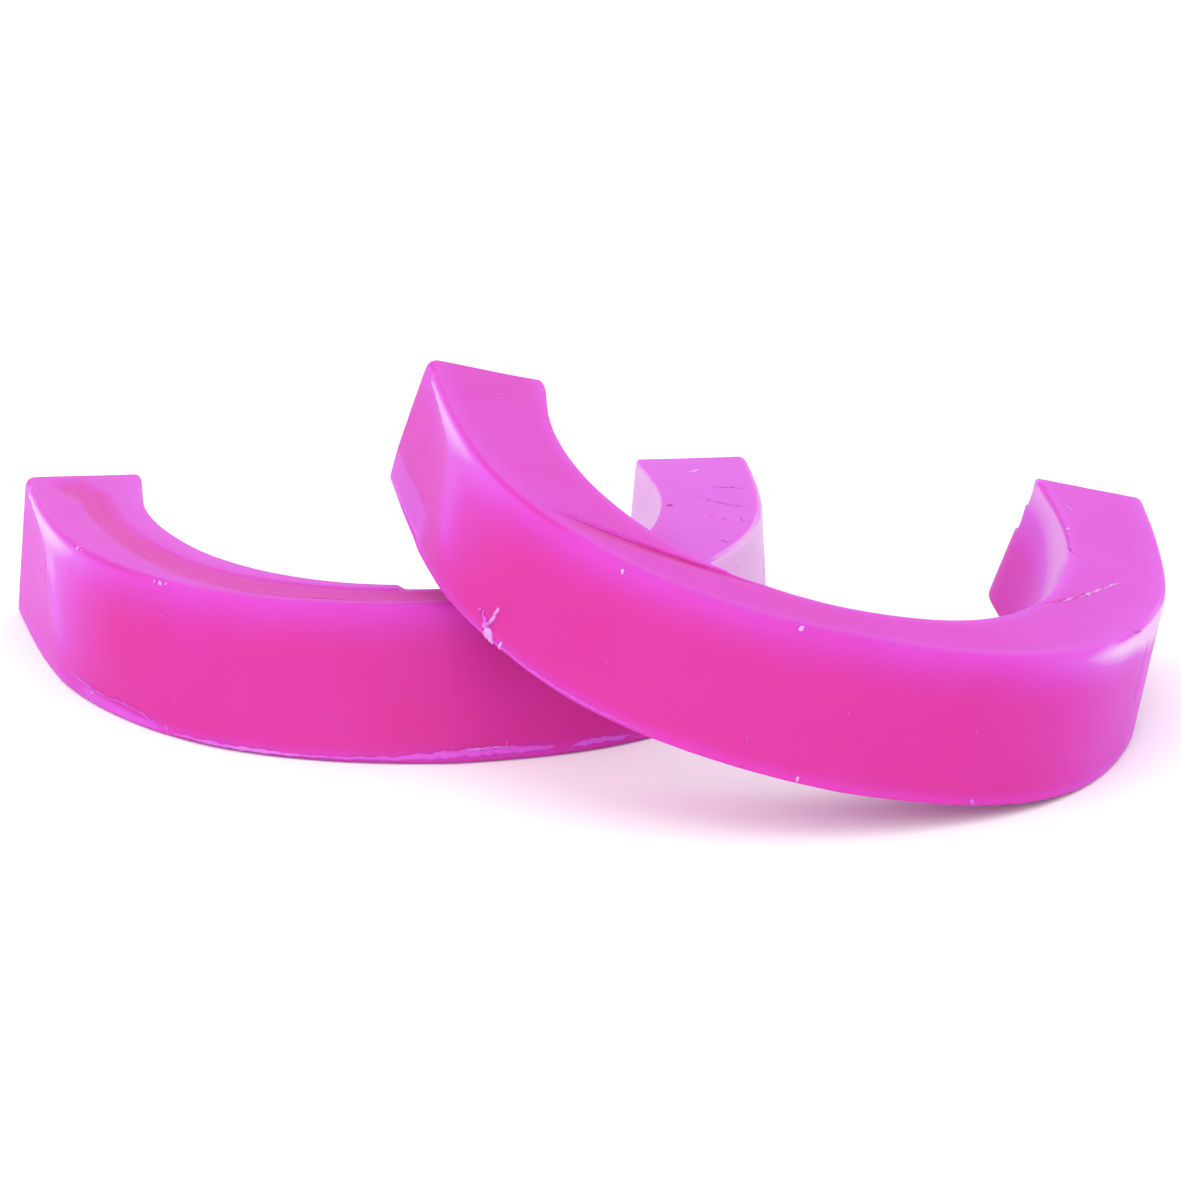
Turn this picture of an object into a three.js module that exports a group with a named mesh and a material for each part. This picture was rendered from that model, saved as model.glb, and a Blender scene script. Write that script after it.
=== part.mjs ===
// A pair of U-shaped wax bite rims. One lies flat, the other leans across it.
// Millimetres, +Z up, floor at z = 0, origin at the middle of the pair's footprint.

import * as THREE from 'three';
import { NURBSCurve } from 'three/addons/curves/NURBSCurve.js';

// Height of each rim, measured square to its flat base.
const LYING_HEIGHT = 12;
const LEANING_HEIGHT = 11.3;

// Half of the arch, seen from above, at the top face: x to the side, y back from the front.
const ARCH_DEPTH = 38.7;
const OUTER_HALF_WIDTH = 30.9;
const INNER_HALF_WIDTH = 21.2;
const FRONT_THICKNESS = 5.4;
const OUTER_HANDLES = [[13.9, 0], [25.6, 10.5], [30.5, 22]];
const INNER_HANDLES = [[13.3, FRONT_THICKNESS], [24.6, 26], [20.6, 37]];
const CURVE_DEGREE = 3;
const CURVE_KNOTS = [0, 0, 0, 0, 0.5, 1, 1, 1, 1];

// How far the walls spread from the top face down to the base. The outer wall's spread changes
// along the arch as a cubic Bezier curve with these four control values, from the front to the heel.
const OUTER_FLARES = [4.8, 3.2, 0.1, 0.75];
const INNER_FLARE = 0.9;

// Edge rounding.
const TOP_OUTER_RADIUS = 0.9;
const EDGE_RADIUS = 0.4;
const EDGE_STEPS = 2;
const HALF_STATIONS = 28;

// Where the leaning rim rests: its front middle on the base, and its tilts in degrees.
const LEAN_X = 27;
const LEAN_Y = -20.5;
const LEAN_FORWARD = 8.85;
const LEAN_SIDEWAYS = 13.1;
const LEAN_TURN = 0.9;

const WAX_COLOUR = 0xe347b4;

// Points of half an arch edge, from the middle of the front back to the heel.
function halfEdge(handles, frontY, heelX) {
  const points = [[0, frontY], ...handles, [heelX, ARCH_DEPTH]];
  const curve = new NURBSCurve(
    CURVE_DEGREE,
    CURVE_KNOTS,
    points.map(([x, y]) => new THREE.Vector4(x, y, 0, 1)),
  );
  const edge = [];
  for (let i = 0; i <= HALF_STATIONS; i += 1) {
    const t = i / HALF_STATIONS;
    const tangent = curve.getTangent(t);
    const point = curve.getPoint(t);
    edge.push({ t, point, outward: new THREE.Vector3(tangent.y, -tangent.x, 0) });
  }
  return edge;
}

// The same edge at the base: pushed out by the flare, with the heel kept in one flat plane.
function baseEdge(edge, flareAt) {
  const heelShift = ARCH_DEPTH - moved(edge[edge.length - 1], flareAt(1)).y;
  return edge.map((station) => {
    const base = moved(station, flareAt(station.t));
    base.y += heelShift * (station.point.y / ARCH_DEPTH) ** 2;
    return base;
  });
}

function outerFlare(t) {
  const [front, near, far, heel] = OUTER_FLARES;
  const s = 1 - t;
  return front * s ** 3 + 3 * near * s * s * t + 3 * far * s * t * t + heel * t ** 3;
}

function moved(station, distance) {
  return station.point.clone().addScaledVector(station.outward, distance);
}

// Rounds one corner of a wall section with an arc that touches both of its sides.
function roundedCorner(corner, before, after, radius) {
  const toBefore = before.clone().sub(corner).normalize();
  const toAfter = after.clone().sub(corner).normalize();
  const halfAngle = toBefore.angleTo(toAfter) / 2;
  const inward = toBefore.clone().add(toAfter).normalize();
  const centre = corner.clone().addScaledVector(inward, radius / Math.sin(halfAngle));
  const from = corner.clone().addScaledVector(toBefore, radius / Math.tan(halfAngle)).sub(centre);
  const to = corner.clone().addScaledVector(toAfter, radius / Math.tan(halfAngle)).sub(centre);
  const sweep = from.angleTo(to);
  const arc = [];
  for (let i = 0; i <= EDGE_STEPS; i += 1) {
    const along = (i / EDGE_STEPS) * sweep;
    const a = Math.sin(sweep - along) / Math.sin(sweep);
    const b = Math.sin(along) / Math.sin(sweep);
    arc.push(centre.clone().addScaledVector(from, a).addScaledVector(to, b));
  }
  return arc;
}

// One closed section of the rim's wall: outer top, inner top, inner base, outer base.
function wallSection(outerTop, innerTop, innerBase, outerBase) {
  const corners = [outerTop, innerTop, innerBase, outerBase];
  const section = [];
  corners.forEach((corner, i) => {
    const radius = i === 0 ? TOP_OUTER_RADIUS : EDGE_RADIUS;
    section.push(...roundedCorner(corner, corners[(i + 3) % 4], corners[(i + 1) % 4], radius));
  });
  return section;
}

// A whole rim: wall sections from the left heel round the front to the right heel.
function rimGeometry(height) {
  const outerTop = halfEdge(OUTER_HANDLES, 0, OUTER_HALF_WIDTH);
  const innerTop = halfEdge(INNER_HANDLES, FRONT_THICKNESS, INNER_HALF_WIDTH);
  const outerBase = baseEdge(outerTop, outerFlare);
  const innerBase = baseEdge(innerTop, () => -INNER_FLARE);
  const sections = [];
  for (let i = -HALF_STATIONS; i <= HALF_STATIONS; i += 1) {
    const side = i < 0 ? -1 : 1;
    const k = Math.abs(i);
    const at = (point, z) => new THREE.Vector3(side * point.x, point.y, z);
    sections.push(wallSection(
      at(outerTop[k].point, height),
      at(innerTop[k].point, height),
      at(innerBase[k], 0),
      at(outerBase[k], 0),
    ));
  }
  return loft(sections);
}

// Skins a row of closed sections and caps both ends.
function loft(sections) {
  const count = sections[0].length;
  const last = (sections.length - 1) * count;
  const index = [];
  for (let s = 0; s < last; s += count) {
    for (let j = 0; j < count; j += 1) {
      const a = s + j;
      const b = s + ((j + 1) % count);
      index.push(a, b + count, b, a, a + count, b + count);
    }
  }
  for (let j = 1; j < count - 1; j += 1) {
    index.push(0, j, j + 1);
    index.push(last, last + j + 1, last + j);
  }
  const geometry = new THREE.BufferGeometry();
  const coordinates = sections.flat().flatMap((point) => point.toArray());
  geometry.setAttribute('position', new THREE.Float32BufferAttribute(coordinates, 3));
  geometry.setIndex(index);
  geometry.computeVertexNormals();
  return geometry;
}

function rim(name, height) {
  const wax = new THREE.MeshStandardMaterial({ color: WAX_COLOUR, roughness: 0.4, metalness: 0 });
  const mesh = new THREE.Mesh(rimGeometry(height), wax);
  mesh.name = name;
  return mesh;
}

function lowestPoint(mesh) {
  mesh.updateMatrixWorld(true);
  return new THREE.Box3().setFromObject(mesh, true).min.z;
}

const lyingRim = rim('lying_rim', LYING_HEIGHT);

const leaningRim = rim('leaning_rim', LEANING_HEIGHT);
leaningRim.position.set(LEAN_X, LEAN_Y, 0);
leaningRim.rotation.set(
  THREE.MathUtils.degToRad(LEAN_FORWARD),
  THREE.MathUtils.degToRad(LEAN_SIDEWAYS),
  THREE.MathUtils.degToRad(LEAN_TURN),
  'ZYX',
);
leaningRim.position.z = -lowestPoint(leaningRim);

const pair = new THREE.Group();
pair.add(lyingRim, leaningRim);

// Puts the origin under the middle of the pair, on the floor.
pair.updateMatrixWorld(true);
const middle = new THREE.Box3().setFromObject(pair, true).getCenter(new THREE.Vector3());
pair.position.set(-middle.x, -middle.y, 0);

export default pair;
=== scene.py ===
"""A pair of translucent pink wax bite rims: one lies flat, the other leans across it."""

import math
import random

import bpy
import numpy as np
from mathutils import Matrix, Vector, noise


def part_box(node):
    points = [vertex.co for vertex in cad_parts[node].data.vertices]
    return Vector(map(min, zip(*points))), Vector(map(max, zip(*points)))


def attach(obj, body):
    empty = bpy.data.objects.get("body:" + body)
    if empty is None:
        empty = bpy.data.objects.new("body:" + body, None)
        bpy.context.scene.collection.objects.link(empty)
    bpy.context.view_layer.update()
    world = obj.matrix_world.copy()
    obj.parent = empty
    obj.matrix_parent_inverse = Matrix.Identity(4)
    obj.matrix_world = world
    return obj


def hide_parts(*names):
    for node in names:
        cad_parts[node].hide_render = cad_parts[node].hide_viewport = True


MM = 0.001

# The arch outline, as in the CAD: handles of half an arch, x to the side and y back, in mm.
ARCH_DEPTH = 38.7
OUTER_EDGE = ((0, 0), (13.9, 0), (25.6, 10.5), (30.5, 22), (30.9, ARCH_DEPTH))
INNER_EDGE = ((0, 5.4), (13.3, 5.4), (24.6, 26), (20.6, 37), (21.2, ARCH_DEPTH))
OUTER_FLARES = (4.8, 3.2, 0.1, 0.75)
INNER_FLARE = 0.9
LYING_HEIGHT = 12.0
LEANING_HEIGHT = 11.3

# The leaning rim's tilts in degrees: forward, sideways and turned.
LEAN_TILTS = (8.85, 13.1, 0.9)

# Round the wall section the faces are top, inner, base and outer, each after its corner.
TOP, INNER, BASE, OUTER = range(4)
CORNER_RADII = (0.9, 0.4, 0.4, 0.4)

# The heels: the radius that rounds their rims, and the power by which the arms are drawn in by it.
HEEL_RADIUS = 0.35
HEEL_EASE = 6

# Mesh density: stations along half the arch, points round each corner and across each face, and rings
# round the rim of each heel and across its flat end.
HALF_STATIONS = 260
CORNER_POINTS = 9
FACE_POINTS = (46, 36, 12, 48)
HEEL_STEPS = 6
HEEL_RINGS = 12

# Tones of the plain faces: the flat ends of the heels and the base.
HEEL_TONE = 0.42
BASE_TONE = 0.3

# The wax: (tone, colour) stops of its ramp, how its surface takes light and how far light goes in.
WAX_STOPS = (
    (0.15, (0.53, 0.026, 0.26, 1)),
    (0.46, (0.55, 0.046, 0.455, 1)),
    (0.76, (0.57, 0.09, 0.60, 1)),
    (1, (0.68, 0.42, 0.70, 1)),
)
WAX_TRANSLUCENCY = 0.5
BURR_TRANSLUCENCY = 0.0
WAX_ROUGHNESS = 0.46
WAX_IOR = 1.44
WAX_SPECULAR = 0.16
SCATTER_RADIUS = (1.0, 0.25, 0.6)
SCATTER_SCALE = 0.0015
MOTTLE_SCALE = 160
MOTTLE_DETAIL = 3
MOTTLE_DEPTH = 0.12

# Stage and light, in metres and watts. Each lamp is (name, place, size, power).
FLOOR_SIZE = 6
FLOOR_COLOUR = (0.97, 0.97, 0.97, 1)
FLOOR_ROUGHNESS = 0.9
WORLD_COLOUR = (1, 1, 1, 1)
WORLD_STRENGTH = 1.22
LAMPS = (
    ("key", (-0.3, -0.3, 0.5), 0.6, 0.6),
    ("front_fill", (-0.3, -0.62, 0.12), 0.9, 2.4),
)

# Camera: lens and sensor in mm, the nearest thing it sees in metres, its place in mm from the lying rim's
# origin, and its turns in degrees.
LENS = 192.2
SENSOR_WIDTH = 36
CLIP_START = 0.01
CAMERA_PLACE = (-64.787, -471.203, 163.836)
CAMERA_TURNS = (-9.17, -17.577, -0.94)

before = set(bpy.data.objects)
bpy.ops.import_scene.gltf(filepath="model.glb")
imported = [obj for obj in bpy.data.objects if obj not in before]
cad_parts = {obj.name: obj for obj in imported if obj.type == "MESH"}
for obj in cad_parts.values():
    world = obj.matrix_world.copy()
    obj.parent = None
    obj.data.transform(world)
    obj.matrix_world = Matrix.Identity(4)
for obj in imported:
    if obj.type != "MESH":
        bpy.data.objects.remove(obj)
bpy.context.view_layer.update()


# ---------------------------------------------------------------- small maths

def smooth(start, end, x):
    """0 before start, 1 after end, with a soft step between."""
    s = np.clip((x - start) / (end - start), 0, 1)
    return s * s * (3 - 2 * s)


def bump(x, middle, width):
    """1 at the middle, and about a third at one width to either side."""
    return np.exp(-(((x - middle) / width) ** 2))


def unit(v):
    return v / np.maximum(np.linalg.norm(v, axis=-1, keepdims=True), 1e-12)


def lumps(points, size, seed):
    """Smooth noise of about -1 to 1 at each point, with lumps of the given size in mm."""
    shift = Vector((seed * 17.3, seed * 5.1, -seed * 9.7))
    flat = points.reshape(-1, 3) / size
    values = [noise.noise(Vector(p) + shift) for p in flat]
    return np.array(values).reshape(points.shape[:-1])


# ---------------------------------------------------------------- arch geometry

def bezier(points, t):
    """Places and tangents along one cubic Bezier segment."""
    p = [np.array(q, float) for q in points]
    s = 1 - t
    place = s**3 * p[0] + 3 * s * s * t * p[1] + 3 * s * t * t * p[2] + t**3 * p[3]
    tangent = s * s * (p[1] - p[0]) + 2 * s * t * (p[2] - p[1]) + t * t * (p[3] - p[2])
    return place, tangent


def half_edge(handles, t):
    """A clamped cubic spline through five handles: two Bezier segments that meet at t = 0.5."""
    p = [np.array(q, float) for q in handles]
    near = (p[1] + p[2]) / 2
    far = (p[2] + p[3]) / 2
    middle = (near + far) / 2
    t = t[:, None]
    front, front_tangent = bezier((p[0], p[1], near, middle), np.clip(t * 2, 0, 1))
    back, back_tangent = bezier((middle, far, p[3], p[4]), np.clip(t * 2 - 1, 0, 1))
    place = np.where(t < 0.5, front, back)
    tangent = np.where(t < 0.5, front_tangent, back_tangent)
    return place, unit(tangent)


def outer_flare(t):
    """How far the outer wall spreads from top to base, from the front back to the heel."""
    front, near, far, heel = OUTER_FLARES
    s = 1 - t
    return front * s**3 + 3 * near * s * s * t + 3 * far * s * t * t + heel * t**3


def base_edge(place, tangent, flare):
    """The edge at the base: pushed out by the flare, with the heel kept in one flat plane."""
    outward = np.stack([tangent[:, 1], -tangent[:, 0]], axis=1)
    base = place + outward * flare[:, None]
    base[:, 1] += (ARCH_DEPTH - base[-1, 1]) * (place[:, 1] / ARCH_DEPTH) ** 2
    return base


def rounded(corner, before, after, radius):
    """An arc at a corner that touches both of its sides, for every station at once."""
    to_before = unit(before - corner)
    to_after = unit(after - corner)
    half = np.arccos(np.clip((to_before * to_after).sum(1), -1, 1))[:, None] / 2
    centre = corner + unit(to_before + to_after) * radius / np.sin(half)
    start = corner + to_before * radius / np.tan(half) - centre
    end = corner + to_after * radius / np.tan(half) - centre
    sweep = math.pi - 2 * half
    arc = []
    for step in np.linspace(0, 1, CORNER_POINTS):
        a = np.sin(sweep * (1 - step)) / np.sin(sweep)
        b = np.sin(sweep * step) / np.sin(sweep)
        arc.append(centre + start * a + end * b)
    return arc


def wall_sections(height):
    """Rounded wall sections from the left heel to the right heel: (stations, points, 3), in mm."""
    t = np.linspace(0, 1, HALF_STATIONS + 1)
    outer, outer_tangent = half_edge(OUTER_EDGE, t)
    inner, inner_tangent = half_edge(INNER_EDGE, t)
    outer_base = base_edge(outer, outer_tangent, outer_flare(t))
    inner_base = base_edge(inner, inner_tangent, np.full(len(t), -INNER_FLARE))

    def both_sides(edge, z):
        right = np.column_stack([edge, np.full(len(edge), z)])
        left = right[:0:-1] * [-1, 1, 1]
        return np.concatenate([left, right])

    corners = [
        both_sides(outer, height),
        both_sides(inner, height),
        both_sides(inner_base, 0.0),
        both_sides(outer_base, 0.0),
    ]
    arcs = [
        rounded(corners[i], corners[i - 1], corners[(i + 1) % 4], CORNER_RADII[i])
        for i in range(4)
    ]
    loop = []
    for i in range(4):
        loop += arcs[i]
        start, end = arcs[i][-1], arcs[(i + 1) % 4][0]
        for step in np.linspace(0, 1, FACE_POINTS[i] + 2)[1:-1]:
            loop.append(start + (end - start) * step)
    return np.stack(loop, axis=1)


def loop_layout():
    """For each point round the section: across (0 outer, 1 inner), down (0 top, 1 base), face shares."""
    corner_across = (0, 1, 1, 0)
    corner_down = (0, 0, 1, 1)
    across, down, share = [], [], []
    for i in range(4):
        k = (i + 1) % 4
        for step in np.linspace(0, 1, CORNER_POINTS):
            across.append(corner_across[i])
            down.append(corner_down[i])
            weights = np.zeros(4)
            weights[i - 1] = 1 - step
            weights[i] = step
            share.append(weights)
        for step in np.linspace(0, 1, FACE_POINTS[i] + 2)[1:-1]:
            across.append(corner_across[i] + (corner_across[k] - corner_across[i]) * step)
            down.append(corner_down[i] + (corner_down[k] - corner_down[i]) * step)
            share.append(np.eye(4)[i])
    return np.array(across), np.array(down), np.array(share).T


def outward(sections):
    """The direction that points out of the wax, at every point of the sections."""
    along = np.gradient(sections, axis=0)
    around = np.roll(sections, -1, axis=1) - np.roll(sections, 1, axis=1)
    return unit(np.cross(along, around))


def heel_rings(section, backward):
    """Rings that round the heel's rim and then close its flat end, from the last section outwards."""
    centre = section.mean(0)
    inward = unit(centre - section)
    rings = []
    for step in range(1, HEEL_STEPS + 1):
        angle = math.pi / 2 * step / HEEL_STEPS
        inset = HEEL_RADIUS * (1 - math.cos(angle))
        rings.append(section + inward * inset + backward * math.sin(angle))
    edge = rings[-1]
    middle = edge.mean(0)
    for step in range(1, HEEL_RINGS):
        rings.append(edge + (middle - edge) * step / HEEL_RINGS)
    return rings, middle


# ---------------------------------------------------------------- what the wax looks like, by place
# Places along the arch run from -1 at the left heel through 0 at the front to 1 at the right heel.
# Tone 0 is the deep pink of thick wax, 0.4 and 0.7 are the lighter tops and edges, partly painted sheen, 1
# is nearly white.
# Some of the paleness is light as it falls in the picture: beside the left heel ridges, along the outer
# top edge on the right, and on the walls of the right arms.

CRACK_START = -0.617
CRACK_LENGTH = 0.464
CRACK_BEND = 1.4
EDGE_LINE_DEPTH = 0.25


def heel_ridge(down):
    """How far back the soft upright ridge of the left outer wall stands, at each height."""
    return 0.84 + 0.13 * np.exp(-down / 0.08) - 0.1 * down**2


def edge_line(t, share):
    """A thin deeper line along the outer top edge of the arms, stronger on the left."""
    right = 0.6 * smooth(0.40, 0.46, t) * (1 - smooth(0.75, 0.85, t))
    return (4 * share[TOP] * share[OUTER]) ** 8 * (smooth(0.4, 0.55, -t) + right)


def lower_shelf(t, down, softness):
    """The low shelf along the base of the lying rim's left front, which rises towards the heel."""
    along = smooth(-0.68, -0.6, t) * (1 - smooth(-0.42, -0.34, t))
    return along * smooth(0, softness, down - 1.06 - 0.23 * t)


def outer_tone(t, down, left_fade, left_start, left_lit):
    """The outer wall: deep pink in front, paler to both sides, with painted highlight beside the left heel
    ridge and painted sheen on the right.
    """
    before_ridge = 1 - smooth(-0.015, 0.02, -t - heel_ridge(down))
    tone = 0.12 + 0.28 * np.exp(-((down / 0.15) ** 1.5)) + 0.16 * bump(down, 1, 0.05)
    tone = tone + left_fade * smooth(left_start, 0.9, -t)
    # Painted highlight on the wall before the left heel ridge, and a painted lighter band down it.
    ridge_highlight = smooth(0.5, 0.85, -t) * before_ridge
    tone += ridge_highlight * (left_lit * (1 - smooth(0.05, 0.55, down)) + 0.12 * bump(down, 0.55, 0.25))
    # Painted highlight along the crest of the left heel ridge.
    crest_highlight = bump(-t - heel_ridge(down), -0.03, 0.035)
    tone += 0.18 * crest_highlight * smooth(0.08, 0.3, down) * (1 - smooth(0.6, 0.9, down))
    # Paler to the right, with a lighter band along the top edge: painted sheen on the right outer wall.
    tone += 0.30 * smooth(0.15, 0.5, t) + 0.15 * smooth(0.5, 0.65, t)
    lit = 0.27 * smooth(0.12, 0.5, t) * np.exp(-((down / 0.2) ** 2))
    lit += 0.05 * smooth(0.52, 0.62, t) * (1 - smooth(0.15, 0.6, down))
    return tone + lit * (1 - smooth(0.64, 0.78, t))


def streak_share(t, across):
    """The deeper streak poured along the lying rim's top, from its left heel to past the front."""
    outer_side = 0.34 - 0.26 * smooth(-0.75, -0.15, t) - 0.2 * smooth(0.86, 0.98, -t)
    inner_side = 0.63 + 0.16 * smooth(-0.35, -0.02, t) - 0.18 * smooth(0.82, 0.98, -t)
    inside = smooth(-0.05, 0.06, across - outer_side) * smooth(-0.07, 0.05, inner_side - across)
    core = bump(across, (outer_side + inner_side) / 2, 0.08)
    return (0.85 * inside + 0.15 * core) * smooth(-1.0, -0.93, t) * (1 - smooth(0.25, 0.42, t))


def lying_tone(t, across, down, share):
    """The lying rim: a deeper streak with strands in it along the top, painted shade where the leaning rim
    lies across it, and a pale right arm whose walls are painted light.
    """
    streak = streak_share(t, across)
    top = 0.50 + 0.12 * bump(across, 1, 0.2) * (1 - smooth(0.3, 0.5, t))
    strands = 0.5 + 0.5 * np.cos(across * 44 + 5 * t)
    top -= (0.24 + 0.10 * strands) * streak
    # Painted shade of the leaning rim, darkening the top where it lies across.
    top -= 0.2 * bump(t, 0.17, 0.13)
    top += 0.18 * smooth(0.35, 0.5, t)
    # The paler inner wall of the right arm is painted light.
    inner = 0.52 + 0.38 * smooth(0.35, 0.6, t)
    shelf = lower_shelf(t, down, 0.02)
    outer = outer_tone(t, down, left_fade=0.34, left_start=0.5, left_lit=0.20) + 0.30 * shelf
    # The paler outer wall of the right arm is painted light.
    outer += 0.32 * smooth(0.38, 0.5, t) * (1 - smooth(0.7, 1.0, t))
    tone = share[TOP] * top + share[INNER] * inner + share[BASE] * BASE_TONE + share[OUTER] * outer
    return tone - EDGE_LINE_DEPTH * edge_line(t, share)


def crack_across(t):
    """How far across the leaning rim's top its long crack is: it slants from the outer edge inwards."""
    return np.clip((t - CRACK_START) / CRACK_LENGTH, 0, 1) ** CRACK_BEND


def leaning_tone(t, across, down, share):
    """The leaning rim: a deeper valley along its crack, and painted light on its right inner wall with a
    patch of painted shade in it.
    """
    beside = across - crack_across(t)
    cracked = smooth(-0.6, -0.3, t) * (1 - smooth(-0.15, -0.08, t))
    valley = smooth(-0.3, -0.02, beside) * (1 - smooth(-0.01, 0.01, beside)) * cracked
    top = 0.38 + 0.16 * smooth(0, 0.5, t) + 0.18 * bump(across, 1, 0.12) + 0.1 * bump(across, 0, 0.12)
    top -= 0.24 * valley
    top -= 0.24 * smooth(0.93, 0.96, across) * smooth(0.54, 0.56, t) * (1 - smooth(0.93, 0.96, t))
    # The paler right inner wall is painted light, and this patch low in it is painted shade.
    inner_wall_shade = smooth(0.47, 0.78, t - 0.1 * (0.5 - down)) * (1 - smooth(0.95, 1.02, t))
    inner_wall_shade = inner_wall_shade * smooth(0.0, 0.62, down)
    inner = 0.48 + 0.34 * smooth(0.3, 0.55, t) - 0.50 * inner_wall_shade
    # The left heel's low facet is painted paler: painted light that offsets its own shading.
    facet = smooth(0.72, 0.76, down) * smooth(0.83, 0.87, -t)
    outer = outer_tone(t, down, left_fade=0.22, left_start=0.62, left_lit=0.26) + 0.25 * facet
    tone = share[TOP] * top + share[INNER] * inner + share[BASE] * BASE_TONE + share[OUTER] * outer
    return tone - EDGE_LINE_DEPTH * edge_line(t, share)


# ---------------------------------------------------------------- how the wax is shaped, in mm outwards
# The unevenness is (height, size of the lumps), from broad to fine. The whole surface is set in by about
# the height of its lumps, to stay inside the CAD's box.

UNEVENNESS = ((0.055, 9), (0.02, 3.2), (0.006, 0.9))
SURFACE_INSET = 0.06
HOLLOW_DEPTH = 0.28
STREAK_DEPTH = 0.14
BROKEN_EDGE_DEPTH = 0.36
SHELF_STEP = 0.12
CRACK_DEPTH = 0.22
BEVEL_DEPTH = 0.14
NOTCH_DEPTH = 0.3
SAWTOOTH_DEPTH = 0.28
FACET_DEPTH = 0.22
CREASE_DEPTH = 0.09


def shared_relief(t, down, share, points, seed):
    """Hand-poured unevenness, and a soft hollow behind the left heel ridge."""
    behind = np.clip((-t - heel_ridge(down)) / (1.001 - heel_ridge(down)), 0, 1)
    hollow = -HOLLOW_DEPTH * np.sin(math.pi * behind) * share[OUTER]
    broad, small, fine = (
        height * lumps(points, size, seed + k)
        for k, (height, size) in enumerate(UNEVENNESS)
    )
    return hollow + (broad + small) + fine - SURFACE_INSET


def lying_relief(t, across, down, share, points):
    """The lying rim: its sunken streak, the broken inner edge in front, the hollow above the shelf."""
    relief = shared_relief(t, down, share, points, 1)
    relief -= STREAK_DEPTH * streak_share(t, across) * share[TOP]
    broken = smooth(-0.047, -0.036, t) * (1 - smooth(0.10, 0.14, t)) * smooth(0.74, 0.84, across)
    relief -= BROKEN_EDGE_DEPTH * broken * (share[TOP] + share[INNER] * (1 - smooth(0, 0.1, down)))
    shelf = lower_shelf(t, down, 0.015)
    relief -= SHELF_STEP * (1 - shelf) * share[OUTER] * bump(t, -0.52, 0.14) * smooth(0.6, 0.9, down)
    return relief


def leaning_relief(t, across, down, share, points):
    """The leaning rim: its crack, the right arm's bevel, notches and crease, the left heel's facet."""
    relief = shared_relief(t, down, share, points, 5)
    beside = across - crack_across(t)
    cracked = smooth(-0.6, -0.35, t) * (1 - smooth(-0.15, -0.10, t))
    valley = smooth(-0.26, -0.02, beside) * (1 - smooth(-0.01, 0.015, beside))
    relief -= CRACK_DEPTH * valley * cracked * share[TOP]
    bevel = smooth(0.93, 0.97, across) * smooth(0.54, 0.56, t) * (1 - smooth(0.94, 0.97, t))
    relief -= BEVEL_DEPTH * bevel * (share[TOP] + share[INNER] * (1 - smooth(0, 0.06, down)))
    notch = bump(t, 0.548, 0.006) * smooth(0.88, 0.97, across)
    relief -= NOTCH_DEPTH * notch * (share[TOP] + share[INNER] * (1 - smooth(0, 0.08, down)))
    sawtooth = np.where(down < 0.19, down / 0.19, np.where(down < 0.43, (down - 0.19) / 0.24, 0))
    relief -= SAWTOOTH_DEPTH * sawtooth * smooth(0.93, 0.98, t) * share[INNER]
    facet = np.clip((down - 0.74) / 0.26, 0, 1) * smooth(0.83, 0.88, -t)
    relief -= FACET_DEPTH * facet * (share[OUTER] + share[BASE] * (1 - smooth(0, 0.1, across)))
    crease = bump(t, 0.61 - 0.06 * down, 0.006) * smooth(0.05, 0.12, down) * (1 - smooth(0.55, 0.7, down))
    relief -= CREASE_DEPTH * crease * share[OUTER]
    return relief


# ---------------------------------------------------------------- placing

def lying_origin():
    """The lying rim's own origin: mid front, on the ground, one arch before the back of the CAD's box."""
    low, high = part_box("lying_rim")
    return (low.x + high.x) / 2, high.y - ARCH_DEPTH * MM, low.z


def place_lying(points):
    """The lying rim's own frame, in mm, into the shared frame, in metres."""
    return points * MM + np.array(lying_origin())


def lean(points):
    """Tilts places in the leaning rim's own frame about its origin, and turns mm into metres."""
    forward, sideways, turn = (math.radians(a) for a in LEAN_TILTS)
    turned = Matrix.Rotation(turn, 3, "Z") @ Matrix.Rotation(sideways, 3, "Y")
    tilt = turned @ Matrix.Rotation(forward, 3, "X")
    return points @ np.array(tilt).T * MM


def place_leaning(points):
    """The leaning rim is tilted about its own origin, then its plain shape is centred on the CAD's box."""
    plain = lean(wall_sections(LEANING_HEIGHT).reshape(-1, 3))
    low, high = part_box("leaning_rim")
    return lean(points) + np.array((low + high) / 2) - (plain.min(0) + plain.max(0)) / 2


# ---------------------------------------------------------------- rims

class Rim:
    """One rim's surface in its own frame, in mm, and what is needed to put things on it."""

    def __init__(self, node, height, place, tone, relief):
        self.node = node
        self.body = node.split("_")[0]
        self.place = place
        sections = wall_sections(height)
        self.count = sections.shape[1]
        t = np.linspace(-1, 1, len(sections))[:, None]
        across, down, share = loop_layout()
        share = share[:, None, :]
        shift = relief(t, across[None], down[None], share, sections)
        self.sections = sections + outward(sections) * shift[..., None]
        self.normals = outward(self.sections)
        self.tone = np.clip(tone(t, across[None], down[None], share), 0, 1)

    def spot(self, face, t, share):
        """The place and outward normal at a share of the way across a face, along the arch at t."""
        s = (np.clip(t, -1, 1) + 1) / 2 * (len(self.sections) - 1)
        start = sum(FACE_POINTS[:face]) + CORNER_POINTS * (face + 1) - 1
        if face in (BASE, OUTER):
            share = 1 - share
        j = start + share * (FACE_POINTS[face] + 1)
        i = int(min(s, len(self.sections) - 2))
        k = int(math.floor(j))
        found = []
        for grid in (self.sections, self.normals):
            corners = [[grid[i + a, (k + b) % self.count] for b in (0, 1)] for a in (0, 1)]
            near = corners[0][0] + (corners[0][1] - corners[0][0]) * (j - k)
            far = corners[1][0] + (corners[1][1] - corners[1][0]) * (j - k)
            found.append(near + (far - near) * (s - i))
        return found[0], unit(found[1])


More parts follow.
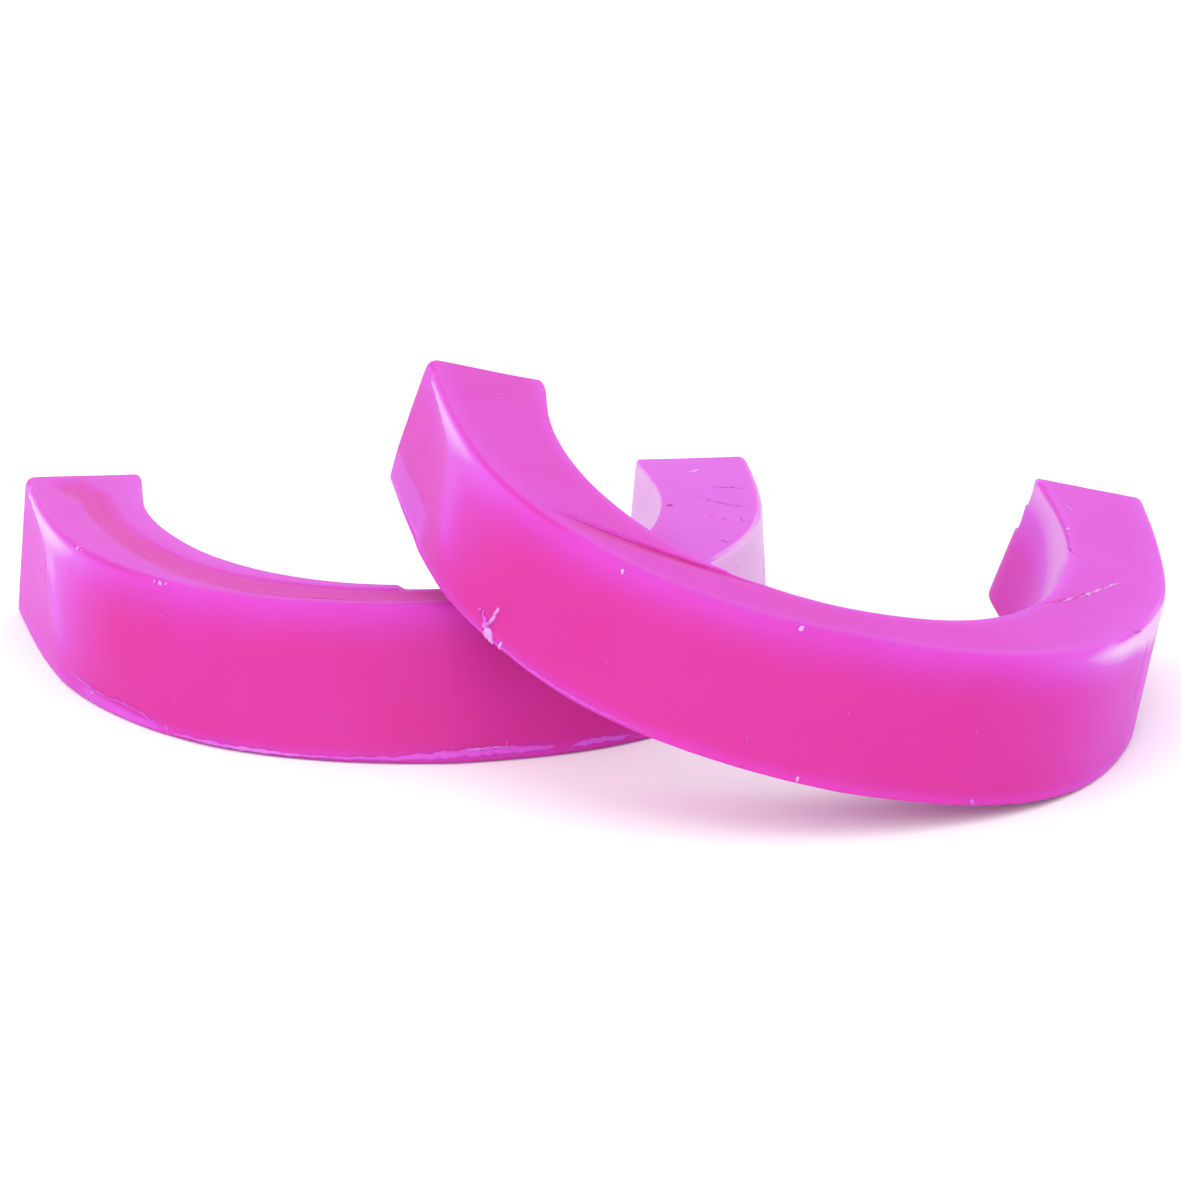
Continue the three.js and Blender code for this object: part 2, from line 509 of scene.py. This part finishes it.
def add_piece(name, rim, points, faces, tone, material):
    """Makes one piece of a rim: placed, kept inside the CAD's box, smooth, and riding on the rim's body."""
    placed = rim.place(points)
    low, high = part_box(rim.node)
    placed = np.clip(placed, np.array(low), np.array(high))
    mesh = bpy.data.meshes.new(name)
    mesh.from_pydata(placed.tolist(), [], faces)
    attribute = mesh.attributes.new("tone", "FLOAT", "POINT")
    attribute.data.foreach_set("value", np.asarray(tone, dtype=np.float32))
    mesh.polygons.foreach_set("use_smooth", [True] * len(mesh.polygons))
    mesh.materials.append(material)
    mesh.update()
    piece = bpy.data.objects.new(name, mesh)
    bpy.context.scene.collection.objects.link(piece)
    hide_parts(rim.node)
    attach(piece, rim.body)


def make_rim(rim, material):
    """The rim itself. Its arms are drawn in by the heels' radius, which the rounded ends give back."""
    sections = rim.sections.copy()
    sections[..., 1] -= HEEL_RADIUS * np.clip(sections[..., 1] / ARCH_DEPTH, 0, 1) ** HEEL_EASE
    backward = np.array([0.0, HEEL_RADIUS, 0.0])
    left, left_middle = heel_rings(sections[0], backward)
    right, right_middle = heel_rings(sections[-1], backward)
    rings = left[::-1] + list(sections) + right
    points = np.concatenate(rings + [left_middle[None], right_middle[None]])
    count = rim.count
    heel = np.clip(np.arange(1, len(left) + 1) / HEEL_STEPS, 0, 1)[:, None]
    left_tone = rim.tone[0] * (1 - heel) + HEEL_TONE * heel
    right_tone = rim.tone[-1] * (1 - heel) + HEEL_TONE * heel
    tone = [left_tone[::-1].ravel(), rim.tone.ravel(), right_tone.ravel(), [HEEL_TONE, HEEL_TONE]]
    tone = np.concatenate(tone)
    faces = []
    for s in range(len(rings) - 1):
        for j in range(count):
            a = s * count + j
            b = s * count + (j + 1) % count
            faces.append((a, a + count, b + count, b))
    last = (len(rings) - 1) * count
    for j in range(count):
        k = (j + 1) % count
        faces.append((len(points) - 2, j, k))
        faces.append((len(points) - 1, last + k, last + j))
    add_piece(rim.node + "_wax", rim, points, faces, tone, material)


# ---------------------------------------------------------------- burrs, flash and scratches
# Each maker gives (points, faces, tones) in the rim's own frame, from a face, a place or a path of places,
# sizes in mm, a tone and a seed. A place is (t, share): the share runs inwards on the top and the base and
# down on the walls, and one a little below 0 or above 1 is on the rounded edge. A ragged ridge wanders,
# swells and rises by three waves, each (row of the noise, length in mm). A crumb's shape is half its
# length, width and height for each mm of its size.

PATH_STEP = 0.12
END_TAPER = 0.03
RAGGED_WAVES = ((0, 0.9), (5, 0.5), (9, 0.35))
WANDER_GAIN = 0.6
SWELL_GAIN = 1.8
RISE_GAIN = 2.4
RIDGE_SECTION = ((-1, -0.4), (-0.65, 0.55), (0, 1), (0.65, 0.5), (1, -0.4), (0, -0.8))
CRUMB_SHAPE = (0.62, 0.4, 0.33)
CRUMB_POLE = 0.3
CRUMB_LUMPS = 0.7
CRUMB_LUMP_SCALE = 1.4
CRUMB_RINGS = 7
CRUMB_SIDES = 12


def ridge(rim, face, path, width, height, ragged, tone, seed):
    """A thin raised line of wax along a path on one face. A ragged one swells, thins and wanders."""
    stops = np.array(path, float)
    rough = np.array([rim.spot(face, t, share)[0] for t, share in path])
    lengths = np.concatenate([[0], np.cumsum(np.linalg.norm(np.diff(rough, axis=0), axis=1))])
    steps = np.linspace(0, lengths[-1], max(4, int(lengths[-1] / PATH_STEP)))
    t = np.interp(steps, lengths, stops[:, 0])
    share = np.interp(steps, lengths, stops[:, 1])
    spots = [rim.spot(face, a, b) for a, b in zip(t, share)]
    middle = np.array([spot[0] for spot in spots])
    up = np.array([spot[1] for spot in spots])
    aside = unit(np.cross(np.gradient(middle, axis=0), up))
    wander, swell, rise = (
        np.array([noise.noise(Vector((d / size, seed * 3.7, k))) for d in steps])
        for k, size in RAGGED_WAVES
    )
    taper = np.sqrt(np.clip(np.sin(np.linspace(END_TAPER, math.pi - END_TAPER, len(steps))), 0, 1))
    wide = width * taper * np.clip(1 + SWELL_GAIN * ragged * swell, 0.2, 3)
    tall = height * taper * np.clip(1 + RISE_GAIN * ragged * rise, 0.08, 3)
    middle = middle + aside * (ragged * width * WANDER_GAIN * wander)[:, None]
    rows = [
        middle + aside * (wide * x / 2)[:, None] + up * (tall * z)[:, None]
        for x, z in RIDGE_SECTION
    ]
    points = np.stack(rows, axis=1).reshape(-1, 3)
    sides = len(RIDGE_SECTION)
    faces = []
    for start in range(0, (len(steps) - 1) * sides, sides):
        for j in range(sides):
            k = (j + 1) % sides
            faces.append((start + j, start + k, start + sides + k, start + sides + j))
    faces.append(tuple(range(sides - 1, -1, -1)))
    faces.append(tuple((len(steps) - 1) * sides + j for j in range(sides)))
    return points, faces, np.full(len(points), tone)


def crumb(rim, face, t, share, size, tone, seed):
    """A lumpy bit of wax stuck to the surface, roughly size mm across."""
    place, up = rim.spot(face, t, share)
    side = unit(np.cross(up, (0.3, 0.2, 0.9)))
    other = np.cross(up, side)
    turn = seed * 2.4
    first = side * math.cos(turn) + other * math.sin(turn)
    second = np.cross(up, first)
    long, wide, high = CRUMB_SHAPE
    points = [place - up * size * CRUMB_POLE]
    for i in range(1, CRUMB_RINGS):
        down = math.pi * i / CRUMB_RINGS
        for j in range(CRUMB_SIDES):
            round_angle = 2 * math.pi * j / CRUMB_SIDES
            x = math.sin(down) * math.cos(round_angle)
            y = math.sin(down) * math.sin(round_angle)
            z = -math.cos(down)
            spot = (x * CRUMB_LUMP_SCALE + seed * 3.1, y * CRUMB_LUMP_SCALE, z * CRUMB_LUMP_SCALE)
            lump = 1 + CRUMB_LUMPS * noise.noise(Vector(spot))
            shift = first * x * long + second * y * wide + up * z * high
            points.append(place + shift * size * lump)
    points.append(place + up * size * CRUMB_POLE)
    top = len(points) - 1
    faces = []
    for j in range(CRUMB_SIDES):
        k = (j + 1) % CRUMB_SIDES
        faces.append((0, 1 + k, 1 + j))
        faces.append((top, top - CRUMB_SIDES + j, top - CRUMB_SIDES + k))
        for i in range(CRUMB_RINGS - 2):
            a = 1 + i * CRUMB_SIDES
            faces.append((a + j, a + k, a + CRUMB_SIDES + k, a + CRUMB_SIDES + j))
    return np.array(points), faces, np.full(len(points), tone)


def add_bits(name, rim, bits, material):
    """Joins many small bits into one piece."""
    points, faces, tones = [], [], []
    for bit_points, bit_faces, bit_tones in bits:
        start = sum(len(p) for p in points)
        points.append(bit_points)
        faces += [tuple(start + v for v in face) for face in bit_faces]
        tones.append(bit_tones)
    add_piece(name, rim, np.concatenate(points), faces, np.concatenate(tones), material)


def dust(rim, count, seed):
    """Tiny specks of wax dust spread over the top and the outer wall."""
    pick = random.Random(seed)
    specks = []
    for i in range(count):
        face = pick.choice((TOP, OUTER, OUTER))
        t = pick.uniform(-0.95, 0.95)
        share = pick.uniform(0.08, 0.92)
        size = pick.uniform(0.08, 0.15)
        tone = pick.uniform(0.45, 0.75)
        specks.append(crumb(rim, face, t, share, size, tone, seed + i))
    return specks


def lying_bits(rim, material):
    """Flash along the base and beside the shelf, chips, dust and scratches of the lying rim."""
    front_flash = ((-0.06, 1.0), (-0.01, 0.975), (0.04, 0.965), (0.10, 0.975))
    shelf_flash = ((-0.57, 0.93), (-0.5, 0.925), (-0.44, 0.94), (-0.4, 0.985))
    flash = [
        ridge(rim, OUTER, ((-0.36, 1.02), (-0.26, 1.03), (-0.14, 1.02)), 0.3, 0.08, 0.5, 0.72, 1),
        ridge(rim, OUTER, ((-0.16, 1.02), (-0.08, 1.01), (-0.03, 1.0)), 0.3, 0.08, 0.4, 0.66, 2),
        ridge(rim, OUTER, front_flash, 0.75, 0.12, 0.35, 0.62, 3),
        ridge(rim, OUTER, ((0.0, 0.955), (0.03, 0.94), (0.06, 0.945)), 0.16, 0.12, 0.6, 0.8, 11),
        ridge(rim, OUTER, ((0.118, 0.985), (0.15, 0.97), (0.2, 0.985)), 0.5, 0.10, 0.6, 0.7, 4),
        ridge(rim, OUTER, ((0.047, 0.95), (0.049, 0.92), (0.05, 0.89)), 0.09, 0.05, 0.3, 0.75, 5),
        ridge(rim, OUTER, ((-0.415, 0.94), (-0.405, 0.97), (-0.395, 1.0)), 0.18, 0.08, 0.7, 0.7, 6),
        ridge(rim, OUTER, ((-0.378, 0.96), (-0.372, 1.0)), 0.16, 0.08, 0.6, 0.76, 7),
        ridge(rim, OUTER, ((-0.69, 0.90), (-0.61, 0.92), (-0.55, 0.93)), 0.16, 0.10, 0.4, 0.72, 8),
        ridge(rim, OUTER, shelf_flash, 0.2, 0.10, 0.5, 0.66, 9),
        ridge(rim, OUTER, ((-0.72, 0.96), (-0.64, 1.0), (-0.54, 1.01)), 0.14, 0.06, 0.6, 0.68, 10),
    ]
    chips = [
        crumb(rim, OUTER, -0.972, -0.08, 0.28, 0.85, 1),
        crumb(rim, OUTER, -0.93, -0.08, 0.26, 0.85, 2),
        crumb(rim, OUTER, -0.705, -0.08, 0.34, 0.85, 3),
        crumb(rim, OUTER, -0.69, -0.08, 0.2, 0.8, 4),
        crumb(rim, OUTER, -0.435, -0.06, 0.36, 0.85, 5),
        crumb(rim, OUTER, -0.45, -0.06, 0.26, 0.8, 6),
        crumb(rim, OUTER, -0.42, -0.07, 0.24, 0.8, 7),
        crumb(rim, OUTER, -0.419, 0.19, 0.24, 0.7, 8),
        crumb(rim, OUTER, -0.508, 0.13, 0.2, 0.5, 9),
        crumb(rim, OUTER, -0.02, 0.55, 0.16, 0.5, 11),
        crumb(rim, OUTER, -0.6, 0.95, 0.3, 0.8, 12),
        crumb(rim, TOP, 0.564, 0.89, 0.45, 0.15, 15),
        crumb(rim, TOP, -0.06, 0.12, 0.2, 0.8, 16),
    ]
    top_edge = ((-0.985, -0.1), (-0.85, -0.11), (-0.7, -0.11), (-0.5, -0.12), (-0.42, -0.12))
    heel_scratch = ((-0.858, 0.2), (-0.85, 0.3), (-0.84, 0.5), (-0.822, 0.66))
    long_scratch = ((0.725, 0.56), (0.736, 0.48), (0.747, 0.33), (0.761, 0.19), (0.789, 0.05))
    short_scratch = ((0.836, 0.4), (0.842, 0.31), (0.86, 0.2), (0.869, 0.08))
    scratches = [
        ridge(rim, TOP, ((0.898, 0.57), (0.912, 0.51), (0.926, 0.45)), 0.4, 0.16, 0.3, 0.88, 13),
        ridge(rim, OUTER, top_edge, 0.1, 0.02, 0.3, 0.42, 33),
        ridge(rim, OUTER, ((-0.842, 0.12), (-0.836, 0.2), (-0.826, 0.33)), 0.16, 0.05, 0.4, 0.85, 21),
        ridge(rim, OUTER, heel_scratch, 0.14, 0.035, 0.5, 0.68, 22),
        ridge(rim, OUTER, ((-0.728, 0.1), (-0.72, 0.2)), 0.12, 0.045, 0.3, 0.7, 23),
        ridge(rim, OUTER, ((-0.9, 0.36), (-0.87, 0.42)), 0.08, 0.03, 0.3, 0.7, 24),
        ridge(rim, TOP, long_scratch, 0.16, 0.04, 0.8, 0.3, 25),
        ridge(rim, TOP, short_scratch, 0.16, 0.04, 0.9, 0.28, 26),
        ridge(rim, TOP, ((0.69, 0.07), (0.71, 0.12)), 0.14, 0.04, 0.4, 0.15, 27),
        ridge(rim, TOP, ((0.653, 0.28), (0.66, 0.2)), 0.14, 0.04, 0.4, 0.15, 28),
        ridge(rim, TOP, ((0.548, 0.12), (0.556, 0.03)), 0.16, 0.04, 0.4, 0.1, 29),
        ridge(rim, TOP, ((0.636, 0.4), (0.64, 0.34)), 0.14, 0.04, 0.4, 0.4, 30),
        ridge(rim, TOP, ((0.77, 0.75), (0.775, 0.68)), 0.12, 0.03, 0.6, 0.45, 31),
        ridge(rim, TOP, ((-0.27, 0.08), (-0.2, 0.1), (-0.13, 0.2), (-0.06, 0.06)), 0.12, 0.03, 0.6, 0.2, 32),
    ]
    add_bits("lying_rim_flash", rim, flash, material)
    add_bits("lying_rim_chips", rim, chips + dust(rim, 16, 40), material)
    add_bits("lying_rim_scratches", rim, scratches, material)


def leaning_bits(rim, material):
    """Cracks, thin edge lines, chips, dust and scratches of the leaning rim."""
    crack = [(t, float(crack_across(t))) for t in np.linspace(-0.6, -0.16, 12)]
    ragged_crack = (
        (0.192, 1.0), (0.236, 1.0), (0.292, 0.98), (0.35, 0.84),
        (0.397, 0.71), (0.508, 0.51), (0.622, 0.34),
    )
    front_edge = [(t, -0.09) for t in (-0.57, -0.45, -0.3, -0.1, 0.1)]
    foot = [(t, 1.02) for t in (-0.67, -0.5, -0.35, -0.2)]
    heel_facet = ((-0.961, 0.75), (-0.931, 0.73), (-0.903, 0.73), (-0.842, 0.77))
    heel_edge = ((-0.985, -0.1), (-0.85, -0.11), (-0.7, -0.11), (-0.57, -0.12))
    cracks = [
        ridge(rim, TOP, crack[:9], 0.10, 0.05, 0.4, 0.72, 51),
        ridge(rim, TOP, crack[7:], 0.16, 0.03, 0.5, 0.05, 52),
        ridge(rim, TOP, ragged_crack[:4], 0.16, 0.05, 0.6, 0.72, 53),
        ridge(rim, TOP, ragged_crack[2:6], 0.26, 0.03, 0.9, 0.12, 54),
        ridge(rim, TOP, ((0.36, 0.8), (0.38, 0.755), (0.40, 0.71)), 0.24, 0.10, 0.8, 0.84, 60),
        ridge(rim, TOP, ((0.42, 0.66), (0.47, 0.575), (0.52, 0.49)), 0.26, 0.10, 0.9, 0.86, 59),
        ridge(rim, TOP, ((0.53, 0.475), (0.57, 0.42), (0.622, 0.34)), 0.2, 0.08, 0.9, 0.84, 83),
        ridge(rim, OUTER, front_edge, 0.07, 0.02, 0.2, 0.55, 55),
        ridge(rim, OUTER, foot, 0.2, 0.05, 0.5, 0.62, 56),
        ridge(rim, OUTER, heel_facet, 0.14, 0.05, 0.3, 0.72, 57),
        ridge(rim, OUTER, heel_edge, 0.09, 0.02, 0.3, 0.35, 58),
    ]
    chips = [
        crumb(rim, OUTER, -0.333, 0.0, 0.34, 0.88, 61),
        crumb(rim, OUTER, -0.072, -0.05, 0.42, 0.9, 62),
        crumb(rim, OUTER, -0.008, 0.48, 0.2, 0.6, 63),
        crumb(rim, OUTER, -0.1, 0.81, 0.2, 0.6, 64),
        crumb(rim, OUTER, -0.042, 1.0, 0.32, 0.88, 65),
        crumb(rim, OUTER, -0.592, 0.88, 0.36, 0.68, 66),
        crumb(rim, OUTER, -0.561, 0.94, 0.75, 0.75, 67),
        crumb(rim, OUTER, -0.548, 0.98, 0.9, 0.86, 68),
        crumb(rim, OUTER, -0.538, 1.0, 0.7, 0.84, 69),
        crumb(rim, OUTER, -0.508, 1.0, 0.45, 0.85, 70),
        crumb(rim, OUTER, -0.7, 0.5, 0.2, 0.6, 71),
        crumb(rim, TOP, -0.9, 0.5, 0.26, 0.75, 72),
        crumb(rim, OUTER, 0.14, 1.0, 0.5, 0.7, 73),
        crumb(rim, TOP, 0.655, 0.93, 0.3, 0.9, 74),
        crumb(rim, TOP, 0.43, 0.2, 0.2, 0.85, 75),
    ]
    scratches = [
        ridge(rim, OUTER, ((-0.548, 0.76), (-0.55, 0.84), (-0.556, 0.92)), 0.34, 0.2, 0.7, 0.84, 81),
        ridge(rim, OUTER, ((-0.585, 0.86), (-0.57, 0.92), (-0.556, 0.98)), 0.3, 0.12, 0.8, 0.72, 82),
        ridge(rim, OUTER, ((0.606, 0.11), (0.588, 0.3), (0.575, 0.6)), 0.10, 0.03, 0.4, 0.3, 83),
        ridge(rim, TOP, ((0.815, 0.3), (0.83, 0.24)), 0.12, 0.03, 0.6, 0.15, 84),
        ridge(rim, TOP, ((0.83, 0.76), (0.84, 0.82)), 0.1, 0.03, 0.6, 0.9, 85),
        ridge(rim, OUTER, ((0.5, -0.1), (0.54, -0.05)), 0.16, 0.05, 0.8, 0.2, 86),
        ridge(rim, TOP, ((-0.74, 0.46), (-0.71, 0.5)), 0.1, 0.03, 0.6, 0.6, 87),
    ]
    add_bits("leaning_rim_cracks", rim, cracks, material)
    add_bits("leaning_rim_chips", rim, chips + dust(rim, 18, 90), material)
    add_bits("leaning_rim_scratches", rim, scratches, material)


# ---------------------------------------------------------------- materials

def wax_material(name, translucency):
    """Wax whose colour goes from deep pink to nearly white with the tone of the place."""
    material = bpy.data.materials.new(name)
    material.use_nodes = True
    nodes, links = material.node_tree.nodes, material.node_tree.links
    shader = nodes["Principled BSDF"]
    tone = nodes.new("ShaderNodeAttribute")
    tone.attribute_name = "tone"
    mottle = nodes.new("ShaderNodeTexNoise")
    mottle.inputs["Scale"].default_value = MOTTLE_SCALE
    mottle.inputs["Detail"].default_value = MOTTLE_DETAIL
    place = nodes.new("ShaderNodeTexCoord")
    links.new(place.outputs["Object"], mottle.inputs["Vector"])
    vary = nodes.new("ShaderNodeMath")
    vary.operation = "MULTIPLY_ADD"
    vary.inputs[1].default_value = MOTTLE_DEPTH
    links.new(mottle.outputs["Fac"], vary.inputs[0])
    links.new(tone.outputs["Fac"], vary.inputs[2])
    ramp = nodes.new("ShaderNodeValToRGB")
    stops = ramp.color_ramp.elements
    ends = (WAX_STOPS[0], WAX_STOPS[-1])
    for stop, (position, colour) in zip(list(stops), ends):
        stop.position = position
        stop.color = colour
    for position, colour in WAX_STOPS[1:-1]:
        stops.new(position).color = colour
    links.new(vary.outputs[0], ramp.inputs["Fac"])
    links.new(ramp.outputs["Color"], shader.inputs["Base Color"])
    shader.inputs["Roughness"].default_value = WAX_ROUGHNESS
    shader.inputs["IOR"].default_value = WAX_IOR
    shader.inputs["Specular IOR Level"].default_value = WAX_SPECULAR
    shader.inputs["Subsurface Weight"].default_value = translucency
    shader.inputs["Subsurface Radius"].default_value = SCATTER_RADIUS
    shader.inputs["Subsurface Scale"].default_value = SCATTER_SCALE
    return material


# ---------------------------------------------------------------- stage, light and camera

def stage():
    """A plain white floor."""
    bpy.ops.mesh.primitive_plane_add(size=FLOOR_SIZE)
    floor = bpy.context.object
    floor.name = "floor"
    paper = bpy.data.materials.new("white_paper")
    paper.use_nodes = True
    shader = paper.node_tree.nodes["Principled BSDF"]
    shader.inputs["Base Color"].default_value = FLOOR_COLOUR
    shader.inputs["Roughness"].default_value = FLOOR_ROUGHNESS
    floor.data.materials.append(paper)


def area_light(name, place, size, power):
    """A square lamp that points at the shared frame's origin."""
    data = bpy.data.lights.new(name, "AREA")
    data.size = size
    data.energy = power
    lamp = bpy.data.objects.new(name, data)
    lamp.location = place
    lamp.rotation_euler = (-Vector(place)).to_track_quat("-Z", "Y").to_euler()
    bpy.context.scene.collection.objects.link(lamp)


def world_light():
    world = bpy.data.worlds.new("studio")
    world.use_nodes = True
    background = world.node_tree.nodes["Background"]
    background.inputs["Color"].default_value = WORLD_COLOUR
    background.inputs["Strength"].default_value = WORLD_STRENGTH
    bpy.context.scene.world = world


def camera():
    """A long lens in front of the pair, a little above it and to its left."""
    data = bpy.data.cameras.new("camera")
    data.lens = LENS
    data.sensor_width = SENSOR_WIDTH
    data.clip_start = CLIP_START
    eye = bpy.data.objects.new("camera", data)
    yaw, pitch, roll = (math.radians(a) for a in CAMERA_TURNS)
    turn = Matrix.Rotation(yaw, 3, "Z") @ Matrix.Rotation(pitch, 3, "X") @ Matrix.Rotation(roll, 3, "Y")
    look = turn @ Matrix.Rotation(math.radians(90), 3, "X")
    place = Vector(lying_origin()) + Vector(CAMERA_PLACE) * MM
    eye.matrix_world = Matrix.Translation(place) @ look.to_4x4()
    bpy.context.scene.collection.objects.link(eye)
    bpy.context.scene.camera = eye


wax = wax_material("pink_wax", WAX_TRANSLUCENCY)
burr_wax = wax_material("pink_wax_burr", BURR_TRANSLUCENCY)
lying = Rim("lying_rim", LYING_HEIGHT, place_lying, lying_tone, lying_relief)
leaning = Rim("leaning_rim", LEANING_HEIGHT, place_leaning, leaning_tone, leaning_relief)
make_rim(lying, wax)
make_rim(leaning, wax)
lying_bits(lying, burr_wax)
leaning_bits(leaning, burr_wax)

stage()
world_light()
for lamp in LAMPS:
    area_light(*lamp)
camera()
bpy.context.scene.view_settings.view_transform = "Standard"
